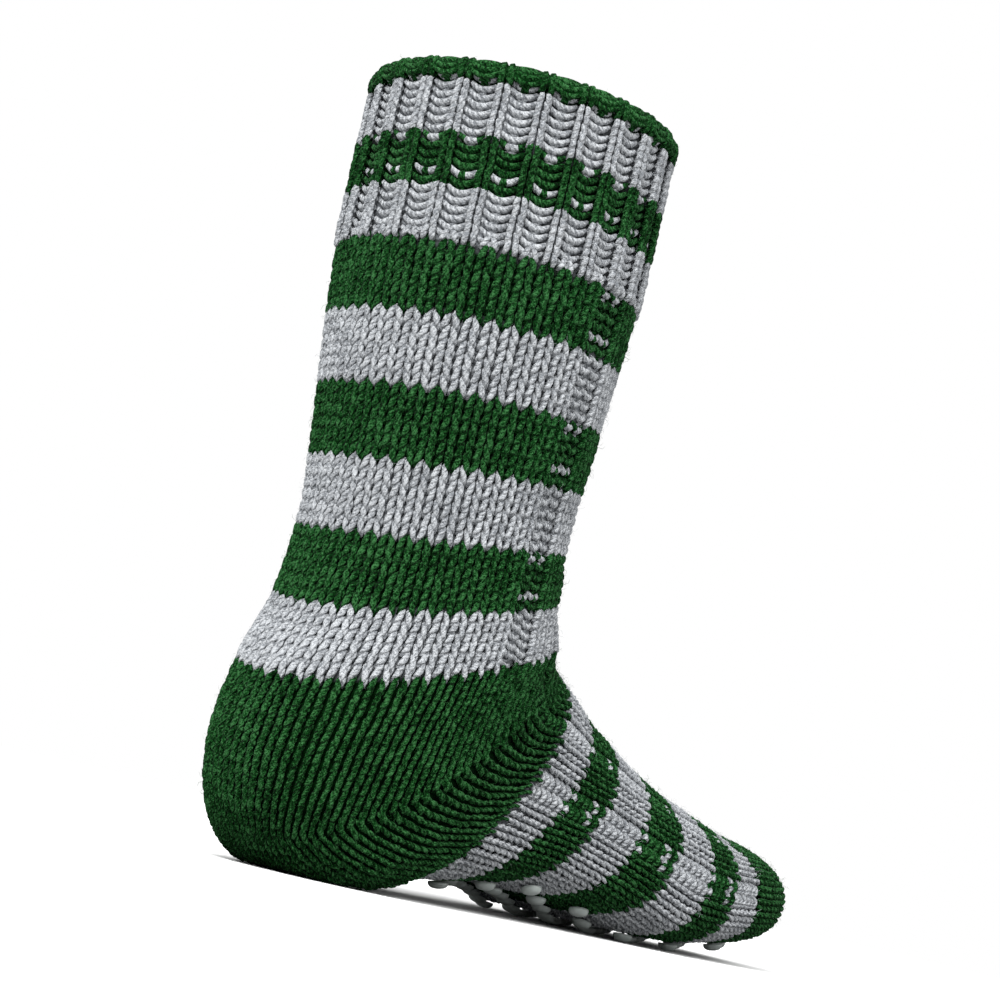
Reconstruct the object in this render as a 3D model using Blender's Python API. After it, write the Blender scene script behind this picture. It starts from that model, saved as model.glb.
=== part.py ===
# Slipper sock: one knitted tube with a turned heel, and grip dots under its sole.
# Metres, +Z up, toes along +Y. The origin is on the floor, under the middle of the foot's length.

import math
from collections import namedtuple

import bpy
import numpy as np
from mathutils import Vector
from mathutils.bvhtree import BVHTree

# Driving sizes of the sock
FOOT_LENGTH = 0.242
BALL_WIDTH = 0.092
HEEL_WIDTH = 0.071
HEEL_ROUND = 0.028
HEEL_HEIGHT = 0.050
INSTEP_HEIGHT = 0.0805
INSTEP_BEND = 0.009
SOCK_HEIGHT = 0.222
LEG_SETBACK = 0.016
ANKLE_DEPTH = 0.078
ANKLE_WIDTH = 0.073
CUFF_DEPTH = 0.088
CUFF_WIDTH = 0.087
ARCH_RISE = 0.0055
SOLE_PRESS = 0.0014
TOE_CAP_LENGTH = 0.047
TOE_CAP_LEAN = 0.004
TOE_HEIGHT = 0.040
TOE_TIP_HEIGHT = 0.0235
TOE_ROUNDNESS = 0.80
TOE_TIP_SQUARE = 2.2
WALL = 0.003
TOE_POCKET_WIDTH_IN_WALLS = 5.0
TOE_POCKET_DEPTH_IN_WALLS = 2.0
TOE_END_IN_WALLS = 1.5

# Sizes of the knitting that shows as form
WALES = 48
CUFF_LENGTH = 0.044
RIB_RELIEF = 0.0020
HEM_HEIGHT = 0.007
HEM_SWELL = 0.0011
HEM_TURN_IN = 0.9
HEM_EASE = 0.003
PANEL_RELIEF = 0.0010

# Sizes of the grip dots and of their rows
DOT_DIAMETER = 0.0058
DOT_STAND = 0.0023
DOT_GAP = 0.0003
DOT_SIDES = 10
DOT_FACE_SHARE = 0.62
DOT_EDGE_SHARE = 0.55
DOT_SEAT_SHARE = 0.96
DOTS_ACROSS = 5
DOT_PITCH_ACROSS = 0.0130
DOT_PITCH_ALONG = 0.0127
DOT_MARGIN = 0.0090
DOTS_UNDER_TOE = 0.45

# Columns of wales over the instep, from the right side over the front to the left: P purl, K knit
FRONT_PANEL = "PPKKKPKKKPKKKKKPKKKPKKKPP"

# Each row is one slanted ring of the leg. Heights run from the heel's or the instep's height (0)
# to the top (1), depth and width from the ankle (0) to the cuff (1), and setback is a share of
# LEG_SETBACK. Belly is where the ring is widest, from its back (0) to its front (1).
LegRow = namedtuple("LegRow", "name back_up front_up setback depth width belly back_square front_square")
LEG_ROWS = (
    LegRow("collar", 1.000, 1.000, 0.52, 1.00, 1.00, 0.50, 2.0, 2.0),
    LegRow("rib end", 0.704, 0.645, 0.56, 0.93, 0.93, 0.50, 2.0, 2.0),
    LegRow("calf", 0.530, 0.462, 0.72, 0.55, 0.60, 0.50, 2.0, 2.0),
    LegRow("low calf", 0.355, 0.282, 0.92, 0.18, 0.20, 0.50, 2.0, 2.0),
    LegRow("ankle", 0.238, 0.166, 1.00, 0.02, 0.00, 0.50, 2.05, 2.0),
    LegRow("under the ankle", 0.119, 0.077, 0.80, 0.66, 0.02, 0.50, 2.1, 2.0),
)

# The top ring of the heel, in the same shares as the leg's rows
HEEL_TOP = LegRow("heel top", 0.000, 0.000, 0.28, 0.00, 0.10, 0.50, 2.15, 2.0)

# Each row is one slanted ring of the foot. Along the sole and the top, shares run from the heel's
# round and the instep's bend (0) to the toe cap (1), sole_up is a share of ARCH_RISE, top_up runs
# from TOE_HEIGHT (0) to INSTEP_HEIGHT (1), and width from HEEL_WIDTH (0) to BALL_WIDTH (1).
FootRow = namedtuple("FootRow", "name sole_along sole_up top_along top_up width belly back_square front_square")
FOOT_ROWS = (
    FootRow("heel front", 0.061, 0.00, 0.058, 0.884, 0.00, 0.43, 3.1, 2.1),
    FootRow("heel end", 0.132, 0.20, 0.093, 0.827, 0.00, 0.42, 3.1, 2.1),
    FootRow("arch start", 0.253, 0.55, 0.218, 0.660, 0.05, 0.41, 3.0, 2.1),
    FootRow("arch", 0.380, 1.00, 0.350, 0.495, 0.18, 0.40, 2.9, 2.1),
    FootRow("arch end", 0.503, 0.85, 0.489, 0.345, 0.43, 0.39, 2.9, 2.1),
    FootRow("before ball", 0.625, 0.40, 0.624, 0.230, 0.76, 0.38, 3.0, 2.1),
    FootRow("ball", 0.749, 0.00, 0.759, 0.148, 0.98, 0.38, 3.1, 2.15),
    FootRow("toes", 0.868, 0.00, 0.888, 0.075, 0.96, 0.40, 3.0, 2.2),
    FootRow("toe cap", 1.000, 0.14, 1.000, 0.000, 0.74, 0.43, 2.8, 2.3),
)

# The heel's rings turn from its back (0) to under it (1), while their fronts move down the instep
# from the first share to the last of the way from the heel's top to the foot's first ring
HEEL_TURNS = (0.0, 0.25, 0.5, 0.75, 1.0)
HEEL_FRONT_SHARES = (0.22, 0.88)

# Rings of the mesh: their places down the hem, and how many there are on the leg, foot and toe cap
HEM_RINGS = (0.0, 0.12, 0.32, 0.6, 0.85, 1.0)
RINGS_ON_LEG = 15
RINGS_ON_FOOT = 25
RINGS_ON_TOE = 7
TOE_RINGS_LEFT_OPEN = 0.6
RING_DETAIL = 240
SHARP_DEGREES = 35


def clear_scene():
    for old in list(bpy.data.objects):
        bpy.data.objects.remove(old, do_unlink=True)


def make_material(name, colour, roughness):
    material = bpy.data.materials.new(name)
    material.use_nodes = True
    shader = material.node_tree.nodes["Principled BSDF"]
    shader.inputs["Base Color"].default_value = (*colour, 1.0)
    shader.inputs["Roughness"].default_value = roughness
    shader.inputs["Metallic"].default_value = 0.0
    return material


# Sections of the last
Section = namedtuple("Section", "back_y back_z front_y front_z width belly back_square front_square floor")


def leg_sections():
    """The leg's rings, from the collar down to the ankle."""
    top = SOCK_HEIGHT - HEM_SWELL
    sections = []
    for row in LEG_ROWS:
        back_y = row.setback * LEG_SETBACK
        sections.append(Section(
            back_y,
            HEEL_HEIGHT + row.back_up * (top - HEEL_HEIGHT),
            back_y + ANKLE_DEPTH + row.depth * (CUFF_DEPTH - ANKLE_DEPTH),
            INSTEP_HEIGHT + row.front_up * (top - INSTEP_HEIGHT),
            ANKLE_WIDTH + row.width * (CUFF_WIDTH - ANKLE_WIDTH),
            row.belly, row.back_square, row.front_square, 0.0,
        ))
    return sections


def instep_bend():
    """Where the front of the leg bends into the instep."""
    return LEG_SETBACK + ANKLE_DEPTH + INSTEP_BEND


def foot_sections():
    """The foot's rings, from the front of the heel to the start of the toe cap."""
    toe_cap = FOOT_LENGTH - TOE_CAP_LENGTH
    sections = []
    for row in FOOT_ROWS:
        stand = 0.0 if row.name == "heel front" else DOT_STAND
        press = SOLE_PRESS if row.sole_up == 0.0 else 0.0
        sections.append(Section(
            HEEL_ROUND + row.sole_along * (toe_cap - HEEL_ROUND),
            stand + row.sole_up * ARCH_RISE - press,
            instep_bend() + row.top_along * (toe_cap + TOE_CAP_LEAN - instep_bend()),
            TOE_HEIGHT + row.top_up * (INSTEP_HEIGHT - TOE_HEIGHT),
            HEEL_WIDTH + row.width * (BALL_WIDTH - HEEL_WIDTH),
            row.belly, row.back_square, row.front_square, stand,
        ))
    return sections


def heel_sections():
    """The heel's rings, which fan round a corner of radius HEEL_ROUND."""
    end = foot_sections()[0]
    top = Section(
        HEEL_TOP.setback * LEG_SETBACK, HEEL_HEIGHT, instep_bend(), INSTEP_HEIGHT,
        ANKLE_WIDTH + HEEL_TOP.width * (CUFF_WIDTH - ANKLE_WIDTH),
        HEEL_TOP.belly, HEEL_TOP.back_square, HEEL_TOP.front_square, 0.0,
    )
    sections = [top]
    for turn in HEEL_TURNS:
        angle = turn * math.pi / 2
        along = HEEL_FRONT_SHARES[0] + turn * (HEEL_FRONT_SHARES[1] - HEEL_FRONT_SHARES[0])
        sections.append(Section(
            HEEL_ROUND * (1 - math.cos(angle)),
            HEEL_ROUND * (1 - math.sin(angle)) - SOLE_PRESS * turn,
            top.front_y + along * (end.front_y - top.front_y),
            top.front_z + along * (end.front_z - top.front_z),
            top.width + along * (end.width - top.width),
            top.belly + along * (end.belly - top.belly),
            top.back_square + turn ** 2 * (end.back_square - top.back_square),
            top.front_square + along * (end.front_square - top.front_square),
            0.0,
        ))
    return sections


def steady_slopes(at, values):
    """Slopes of a smooth curve through the values that never overshoots them."""
    steps = np.diff(at)
    rises = np.diff(values) / steps
    slopes = np.zeros(len(at))
    slopes[0] = rises[0]
    slopes[-1] = rises[-1]
    for i in range(1, len(at) - 1):
        before, after = rises[i - 1], rises[i]
        if before * after > 0:
            lean = 2 * steps[i] + steps[i - 1]
            trail = steps[i] + 2 * steps[i - 1]
            slopes[i] = (lean + trail) / (lean / before + trail / after)
    return slopes


def smooth_curve(at, values, wanted):
    """The smooth curve through the values, read at the wanted places."""
    slopes = steady_slopes(at, values)
    result = []
    for place in wanted:
        i = min(max(int(np.searchsorted(at, place)) - 1, 0), len(at) - 2)
        step = at[i + 1] - at[i]
        t = (place - at[i]) / step
        result.append(
            (2 * t**3 - 3 * t**2 + 1) * values[i] + (t**3 - 2 * t**2 + t) * step * slopes[i]
            + (3 * t**2 - 2 * t**3) * values[i + 1] + (t**3 - t**2) * step * slopes[i + 1]
        )
    return result


def stations(sections):
    """How far along the sock each section is, by the mean of its back and front path."""
    at = [0.0]
    for one, two in zip(sections, sections[1:]):
        back = math.hypot(two.back_y - one.back_y, two.back_z - one.back_z)
        front = math.hypot(two.front_y - one.front_y, two.front_z - one.front_z)
        at.append(at[-1] + (back + front) / 2)
    return at


def blend_sections(sections, at, wanted):
    """Sections read from the smooth surface through the table's sections."""
    columns = [smooth_curve(at, [s[c] for s in sections], wanted) for c in range(len(Section._fields))]
    return [Section(*values) for values in zip(*columns)]


def power(value, exponent):
    return math.copysign(abs(value) ** exponent, value)


def ring_outline(section, count):
    """Points at even distances round one slanted ring, from the back centre over the right side."""
    back = Vector((0, section.back_y, section.back_z))
    front = Vector((0, section.front_y, section.front_z))
    wide = back.lerp(front, section.belly)
    fine = []
    for i in range(RING_DETAIL):
        angle = 2 * math.pi * i / RING_DETAIL
        behind = math.cos(angle) > 0
        square = section.back_square if behind else section.front_square
        reach = (back - wide) if behind else (front - wide)
        side = section.width / 2 * power(math.sin(angle), 2 / square)
        point = wide + reach * abs(math.cos(angle)) ** (2 / square)
        fine.append(Vector((side, point.y, point.z)))
    lengths = [0.0]
    for one, two in zip(fine, fine[1:] + fine[:1]):
        lengths.append(lengths[-1] + (two - one).length)
    outline = []
    for k in range(count):
        goal = lengths[-1] * k / count
        i = max(int(np.searchsorted(lengths, goal)) - 1, 0)
        share = (goal - lengths[i]) / (lengths[i + 1] - lengths[i])
        point = fine[i].lerp(fine[(i + 1) % RING_DETAIL], share)
        point.z = max(point.z, section.floor)
        outline.append(point)
    return outline


def toe_sections(last):
    """Rings of the toe cap: the last section drawn in along a rounded nose."""
    sections = []
    for k in range(1, RINGS_ON_TOE + 1):
        angle = k / (RINGS_ON_TOE + TOE_RINGS_LEFT_OPEN) * math.pi / 2
        along = math.sin(angle)
        draw = math.cos(angle) ** TOE_ROUNDNESS
        sections.append(Section(
            last.back_y + along * (FOOT_LENGTH - last.back_y),
            TOE_TIP_HEIGHT + draw * (last.back_z - TOE_TIP_HEIGHT),
            last.front_y + along * (FOOT_LENGTH - last.front_y),
            TOE_TIP_HEIGHT + draw * (last.front_z - TOE_TIP_HEIGHT),
            last.width * draw, last.belly + (0.5 - last.belly) * along,
            last.back_square - (last.back_square - TOE_TIP_SQUARE) * along,
            last.front_square - (last.front_square - TOE_TIP_SQUARE) * along, last.floor,
        ))
    return sections


def wale_relief(column, share_down_cuff):
    """How far a column of stitches stands out or in: ribs in the cuff, purl grooves over the instep."""
    if share_down_cuff < 1.0:
        return RIB_RELIEF * (0.5 if column % 2 == 0 else -0.5)
    place = column - (WALES - len(FRONT_PANEL) + 1) // 2
    on_front = 0 <= place < len(FRONT_PANEL)
    return -PANEL_RELIEF if on_front and FRONT_PANEL[place] == "P" else 0.0


def surface_normals(grid):
    """Outward directions of a grid of rings, from its neighbours along and round."""
    rings, points = len(grid), len(grid[0])
    normals = []
    for i in range(rings):
        row = []
        for j in range(points):
            along = grid[min(i + 1, rings - 1)][j] - grid[max(i - 1, 0)][j]
            round_about = grid[i][(j + 1) % points] - grid[i][j - 1]
            row.append(along.cross(round_about).normalized())
        normals.append(row)
    return normals


def build_rings():
    """All outer rings from the top of the hem to the toe, and how far each is below the top."""
    table = leg_sections() + heel_sections() + foot_sections()
    at = stations(table)
    leg_end = at[len(LEG_ROWS)]
    hem_at = [HEM_HEIGHT * share for share in HEM_RINGS]
    leg_at = list(np.linspace(HEM_HEIGHT + HEM_EASE, leg_end, RINGS_ON_LEG))
    foot_at = list(np.linspace(leg_end, at[-1], RINGS_ON_FOOT + 1))[1:]
    wanted = hem_at + leg_at + foot_at
    sections = blend_sections(table, at, wanted)
    sections += toe_sections(sections[-1])
    return sections, wanted


def hem_swell(below_top):
    """The rolled hem's bulge at a depth below the top."""
    if below_top >= HEM_HEIGHT:
        return 0.0
    down = below_top / HEM_HEIGHT
    return HEM_SWELL * (math.sin(math.pi * down) - HEM_TURN_IN * (1 - down) ** 4)


def build_sock():
    sections, wanted = build_rings()
    smooth = [ring_outline(section, WALES) for section in sections]
    normals = surface_normals(smooth)
    outer, inner = [], []
    for i, ring in enumerate(smooth):
        below_top = wanted[i] if i < len(wanted) else wanted[-1]
        share_down_cuff = (below_top - HEM_HEIGHT) / CUFF_LENGTH
        swell = hem_swell(below_top)
        outer_ring, inner_ring = [], []
        for j, point in enumerate(ring):
            plain = below_top < HEM_HEIGHT or i >= len(wanted)
            relief = 0.0 if plain else wale_relief(j, share_down_cuff)
            out = point + normals[i][j] * (relief + swell)
            out.z = max(out.z, sections[i].floor)
            outer_ring.append(out)
            inner_ring.append(point + normals[i][j] * (relief - swell - WALL))
        outer.append(outer_ring)
        inner.append(inner_ring)
    return sections, outer, inner


def close_with_fan(vertices, faces, ring_start, tip, inside):
    """Closes a ring of the toe with triangles to its tip."""
    vertices.append(tip)
    tip_index = len(vertices) - 1
    for j in range(WALES):
        one, two = ring_start + j, ring_start + (j + 1) % WALES
        faces.append((one, two, tip_index) if inside else (two, one, tip_index))


def join_rings(faces, upper, lower, inside):
    """A band of faces between two rings, turned to face in on the inside of the sock."""
    for j in range(WALES):
        k = (j + 1) % WALES
        quad = (upper + j, lower + j, lower + k, upper + k)
        faces.append(tuple(reversed(quad)) if inside else quad)


def sock_mesh():
    sections, outer, inner = build_sock()
    vertices, faces = [], []
    outer_starts, inner_starts = [], []
    for ring in outer:
        outer_starts.append(len(vertices))
        vertices.extend(ring)
    lip = [out.lerp(inside, 0.5) + Vector((0, 0, HEM_SWELL)) for out, inside in zip(outer[0], inner[0])]
    lip_start = len(vertices)
    vertices.extend(lip)
    # The inner wall has every second ring, but all in the hem and toe, and stops where the toe has no room inside
    toe_start = len(sections) - RINGS_ON_TOE
    kept = [i for i in range(len(inner)) if i % 2 == 0 or i < len(HEM_RINGS) or i > toe_start]
    kept = [i for i in kept if sections[i].width > TOE_POCKET_WIDTH_IN_WALLS * WALL]
    for i in kept:
        inner_starts.append(len(vertices))
        vertices.extend(inner[i])
    for upper, lower in zip(outer_starts, outer_starts[1:]):
        join_rings(faces, upper, lower, inside=False)
    for upper, lower in zip(inner_starts, inner_starts[1:]):
        join_rings(faces, upper, lower, inside=True)
    join_rings(faces, lip_start, outer_starts[0], inside=False)
    join_rings(faces, lip_start, inner_starts[0], inside=True)
    tip = Vector((0, FOOT_LENGTH, TOE_TIP_HEIGHT))
    close_with_fan(vertices, faces, outer_starts[-1], tip, inside=False)
    last = sum(inner[kept[-1]], Vector()) / WALES
    pocket_end = min(tip.y - TOE_END_IN_WALLS * WALL, last.y + TOE_POCKET_DEPTH_IN_WALLS * WALL)
    pocket = Vector((0, pocket_end, TOE_TIP_HEIGHT))
    close_with_fan(vertices, faces, inner_starts[-1], pocket, inside=True)
    return vertices, faces


def make_object(name, vertices, faces, material):
    """One named solid, moved so that the middle of the foot's length is over the origin."""
    mesh = bpy.data.meshes.new(name)
    shifted = [(v.x, v.y - FOOT_LENGTH / 2, v.z) for v in vertices]
    mesh.from_pydata(shifted, [], faces)
    mesh.materials.append(material)
    mesh.shade_smooth()
    mesh.set_sharp_from_angle(angle=math.radians(SHARP_DEGREES))
    mesh.update()
    solid = bpy.data.objects.new(name, mesh)
    bpy.context.scene.collection.objects.link(solid)
    return solid


# Grip dots
def dot_places():
    """Staggered rows: one dot at the front of the heel, then more, out to the edges of the sole."""
    table = foot_sections()
    ends = [section.back_y for section in table]
    widths = [section.width for section in table]
    places = []
    row = 0
    y = table[1].back_y
    while y < FOOT_LENGTH - DOTS_UNDER_TOE * TOE_CAP_LENGTH:
        nose = max(0.0, (y - ends[-1]) / (FOOT_LENGTH - ends[-1]))
        half_width = np.interp(y, ends, widths) / 2 * math.sqrt(1 - nose**2)
        across = min(row + 1, DOTS_ACROSS - (DOTS_ACROSS + row + 1) % 2)
        while across > 1 and (across - 1) / 2 * DOT_PITCH_ACROSS > half_width - DOT_MARGIN:
            across -= 2
        for k in range(across):
            places.append(((k - (across - 1) / 2) * DOT_PITCH_ACROSS, y))
        row += 1
        y += DOT_PITCH_ALONG
    return places


def dot_mesh(tree, x, y):
    """A low round dot whose base follows the knit and whose face is flat."""
    below = Vector((x, y, -1.0))
    seat, normal, _, _ = tree.ray_cast(below, Vector((0, 0, 1)))
    if normal.z > 0:
        normal = -normal
    side = normal.orthogonal().normalized()
    other = normal.cross(side)
    flat = abs(seat.z - DOT_STAND) < 1e-5
    thick = DOT_STAND - DOT_GAP
    profile = ((1.0, DOT_EDGE_SHARE), (DOT_FACE_SHARE, 1.0))
    radius = DOT_DIAMETER / 2
    spokes = []
    for k in range(DOT_SIDES):
        angle = 2 * math.pi * k / DOT_SIDES
        spokes.append(side * math.cos(angle) + other * math.sin(angle))
    vertices = []
    for spoke in spokes:
        edge = seat + spoke * radius * DOT_SEAT_SHARE
        hit, _, _, _ = tree.ray_cast(edge + normal * DOT_DIAMETER, -normal)
        sink = (edge - hit).dot(normal) if hit is not None else 0.0
        vertices.append(edge + normal * (DOT_GAP - min(sink, DOT_GAP)))
    for share, rise in profile:
        for spoke in spokes:
            point = seat + spoke * radius * share + normal * (DOT_GAP + thick * rise)
            point.z = 0.0 if flat and rise == 1.0 else max(point.z, 0.0)
            vertices.append(point)
    faces = [tuple(reversed(range(DOT_SIDES)))]
    for level in range(len(profile)):
        for k in range(DOT_SIDES):
            one, two = level * DOT_SIDES + k, level * DOT_SIDES + (k + 1) % DOT_SIDES
            faces.append((one, two, two + DOT_SIDES, one + DOT_SIDES))
    top = len(profile) * DOT_SIDES
    faces.append(tuple(range(top, top + DOT_SIDES)))
    return vertices, faces


def main():
    clear_scene()
    yarn = make_material("yarn", (0.03, 0.12, 0.035), 0.95)
    grip = make_material("grip", (0.55, 0.6, 0.58), 0.45)
    vertices, faces = sock_mesh()
    make_object("knitted_sock", vertices, faces, yarn)
    tree = BVHTree.FromPolygons(vertices, faces)
    for number, (x, y) in enumerate(dot_places(), start=1):
        make_object(f"grip_dot_{number:02d}", *dot_mesh(tree, x, y), grip)


main()
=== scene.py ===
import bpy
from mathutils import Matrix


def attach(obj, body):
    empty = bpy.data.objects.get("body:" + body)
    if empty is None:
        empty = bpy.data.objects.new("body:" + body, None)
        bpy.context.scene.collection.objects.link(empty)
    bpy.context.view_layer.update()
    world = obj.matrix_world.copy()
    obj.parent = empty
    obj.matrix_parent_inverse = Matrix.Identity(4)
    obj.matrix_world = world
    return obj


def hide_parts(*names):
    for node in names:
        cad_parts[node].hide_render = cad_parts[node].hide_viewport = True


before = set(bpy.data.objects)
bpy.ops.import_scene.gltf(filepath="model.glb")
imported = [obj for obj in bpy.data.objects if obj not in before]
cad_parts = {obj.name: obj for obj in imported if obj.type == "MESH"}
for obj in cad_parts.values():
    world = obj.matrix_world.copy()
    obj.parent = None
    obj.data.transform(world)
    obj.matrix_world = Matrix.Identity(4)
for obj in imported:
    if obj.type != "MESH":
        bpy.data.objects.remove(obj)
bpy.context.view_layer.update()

import math

import bpy
import bmesh
import numpy as np
from mathutils import Matrix, Vector

print("frame loaded")

# The sock's own sizes in metres, as in the part's source. y runs from the heel (0) to the toe
form = {
    "footLength": 0.242, "ballWidth": 0.092, "heelWidth": 0.071, "heelRound": 0.028,
    "heelHeight": 0.050, "instepHeight": 0.0805, "instepBend": 0.009, "sockHeight": 0.222,
    "legSetback": 0.016, "ankleDepth": 0.078, "ankleWidth": 0.073, "cuffDepth": 0.088,
    "cuffWidth": 0.087, "archRise": 0.0055, "solePress": 0.0014, "toeCapLength": 0.047,
    "toeCapLean": 0.004, "toeHeight": 0.040, "toeTipHeight": 0.0235, "toeRoundness": 0.80,
    "toeTipSquare": 2.2, "toeTipBelly": 0.5, "hemHeight": 0.007, "hemSwell": 0.0011, "dotStand": 0.0023,
    "wales": 48,
}

# name, back up, front up, setback, depth, width, belly, back square, front square
legRows = [
    ("collar", 1.000, 1.000, 0.52, 1.00, 1.00, 0.50, 2.0, 2.0),
    ("rib end", 0.704, 0.645, 0.56, 0.93, 0.93, 0.50, 2.0, 2.0),
    ("calf", 0.530, 0.462, 0.72, 0.55, 0.60, 0.50, 2.0, 2.0),
    ("low calf", 0.355, 0.282, 0.92, 0.18, 0.20, 0.50, 2.0, 2.0),
    ("ankle", 0.238, 0.166, 1.00, 0.02, 0.00, 0.50, 2.05, 2.0),
    ("under the ankle", 0.119, 0.077, 0.80, 0.66, 0.02, 0.50, 2.1, 2.0),
    ("heel top", 0.000, 0.000, 0.28, 0.00, 0.10, 0.50, 2.15, 2.0),
]
# name, along the sole, sole up, along the top, top up, width, belly, back square, front square
footRows = [
    ("heel front", 0.061, 0.00, 0.058, 0.884, 0.00, 0.43, 3.1, 2.1),
    ("heel end", 0.132, 0.20, 0.093, 0.827, 0.00, 0.42, 3.1, 2.1),
    ("arch start", 0.253, 0.55, 0.218, 0.660, 0.05, 0.41, 3.0, 2.1),
    ("arch", 0.380, 1.00, 0.350, 0.495, 0.18, 0.40, 2.9, 2.1),
    ("arch end", 0.503, 0.85, 0.489, 0.345, 0.43, 0.39, 2.9, 2.1),
    ("before ball", 0.625, 0.40, 0.624, 0.230, 0.76, 0.38, 3.0, 2.1),
    ("ball", 0.749, 0.00, 0.759, 0.148, 0.98, 0.38, 3.1, 2.15),
    ("toes", 0.868, 0.00, 0.888, 0.075, 0.96, 0.40, 3.0, 2.2),
    ("toe cap", 1.000, 0.14, 1.000, 0.000, 0.74, 0.43, 2.8, 2.3),
]
heelTurns = [0.0, 0.25, 0.5, 0.75, 1.0]
heelFrontShares = (0.22, 0.88)


def sockRows():  # one row a ring: back y z, front y z, width, belly, back square, front square, floor
    f = form
    top = f["sockHeight"] - f["hemSwell"]
    bend = f["legSetback"] + f["ankleDepth"] + f["instepBend"]
    cap = f["footLength"] - f["toeCapLength"]
    rows = []
    for name, backUp, frontUp, setback, depth, width, belly, backSquare, frontSquare in legRows:
        backY = setback * f["legSetback"]
        frontY = backY + f["ankleDepth"] + depth * (f["cuffDepth"] - f["ankleDepth"])
        rows.append([
            backY, f["heelHeight"] + backUp * (top - f["heelHeight"]),
            bend if name == "heel top" else frontY,
            f["instepHeight"] + frontUp * (top - f["instepHeight"]),
            f["ankleWidth"] + width * (f["cuffWidth"] - f["ankleWidth"]), belly, backSquare, frontSquare, 0.0,
        ])
    foot = []
    for name, soleAlong, soleUp, topAlong, topUp, width, belly, backSquare, frontSquare in footRows:
        stand = 0.0 if name == "heel front" else f["dotStand"]
        press = f["solePress"] if soleUp == 0.0 else 0.0
        foot.append([
            f["heelRound"] + soleAlong * (cap - f["heelRound"]), stand + soleUp * f["archRise"] - press,
            bend + topAlong * (cap + f["toeCapLean"] - bend),
            f["toeHeight"] + topUp * (f["instepHeight"] - f["toeHeight"]),
            f["heelWidth"] + width * (f["ballWidth"] - f["heelWidth"]), belly, backSquare, frontSquare, stand,
        ])
    start, end = rows[-1], foot[0]
    for turn in heelTurns:
        angle = turn * math.pi / 2
        share = heelFrontShares[0] + turn * (heelFrontShares[1] - heelFrontShares[0])
        row = [a + share * (b - a) for a, b in zip(start, end)]
        row[0] = f["heelRound"] * (1 - math.cos(angle))
        row[1] = f["heelRound"] * (1 - math.sin(angle)) - f["solePress"] * turn
        row[6] = start[6] + turn ** 2 * (end[6] - start[6])
        row[8] = 0.0
        rows.append(row)
    return np.array(rows + foot)


def rowStations(rows):  # how far along the sock each row is, by the mean of its back and front path
    back = np.hypot(np.diff(rows[:, 0]), np.diff(rows[:, 1]))
    front = np.hypot(np.diff(rows[:, 2]), np.diff(rows[:, 3]))
    return np.concatenate([[0.0], np.cumsum((back + front) / 2)])


def smoothCurve(at, values, wanted):  # a smooth curve through the values that never overshoots them
    steps, rises = np.diff(at), np.diff(values) / np.diff(at)
    slopes = np.zeros(len(at))
    slopes[0], slopes[-1] = rises[0], rises[-1]
    for i in range(1, len(at) - 1):
        before, after = rises[i - 1], rises[i]
        if before * after > 0:
            lean, trail = 2 * steps[i] + steps[i - 1], steps[i] + 2 * steps[i - 1]
            slopes[i] = (lean + trail) / (lean / before + trail / after)
    i = np.clip(np.searchsorted(at, wanted) - 1, 0, len(at) - 2)
    t = (wanted - at[i]) / steps[i]
    return ((2 * t**3 - 3 * t**2 + 1) * values[i] + (t**3 - 2 * t**2 + t) * steps[i] * slopes[i]
            + (3 * t**2 - 2 * t**3) * values[i + 1] + (t**3 - t**2) * steps[i] * slopes[i + 1])


def lengthAlong(points):  # how far along a line each of its points is
    return np.concatenate([[0.0], np.cumsum(np.linalg.norm(np.diff(points, axis=0), axis=1))])


def ringPoints(row, around, detail=360):  # points at even distances round one slanted ring
    backY, backZ, frontY, frontZ, width, belly, backSquare, frontSquare, floor = row
    angle = np.linspace(0, 2 * np.pi, detail + 1)
    behind = np.cos(angle) > 0
    wideY, wideZ = backY + belly * (frontY - backY), backZ + belly * (frontZ - backZ)
    square = np.where(behind, backSquare, frontSquare)
    draw = np.abs(np.cos(angle)) ** (2 / square)
    ring = np.stack([
        width / 2 * np.sign(np.sin(angle)) * np.abs(np.sin(angle)) ** (2 / square),
        wideY + np.where(behind, backY - wideY, frontY - wideY) * draw,
        wideZ + np.where(behind, backZ - wideZ, frontZ - wideZ) * draw,
    ], 1)
    ring[0, 0] = ring[-1, 0] = 0.0
    far = lengthAlong(ring)
    goal = far[-1] * np.arange(around) / around
    placed = np.stack([np.interp(goal, far, ring[:, k]) for k in range(3)], 1)
    placed[:, 2] = np.maximum(placed[:, 2], floor)
    return placed, far[-1]


def toeRows(last):  # the last ring drawn in along a rounded nose
    backY, backZ, frontY, frontZ, width, belly, backSquare, frontSquare, floor = last
    length, tip, square = form["footLength"], form["toeTipHeight"], form["toeTipSquare"]
    rows = []
    for angle in np.linspace(0, toeClosed, toeRings)[1:] * math.pi / 2:
        along, draw = math.sin(angle), math.cos(angle) ** form["toeRoundness"]
        rows.append([
            backY + along * (length - backY), tip + draw * (backZ - tip),
            frontY + along * (length - frontY), tip + draw * (frontZ - tip),
            width * draw, belly + (form["toeTipBelly"] - belly) * along,
            backSquare - (backSquare - square) * along, frontSquare - (frontSquare - square) * along, floor,
        ])
    return rows


def unit(vectors):  # each vector at length 1
    return vectors / (np.linalg.norm(vectors, axis=-1, keepdims=True) + 1e-12)


def addObject(name, data):
    made = bpy.data.objects.new(name, data)
    bpy.context.scene.collection.objects.link(made)
    return made


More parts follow.
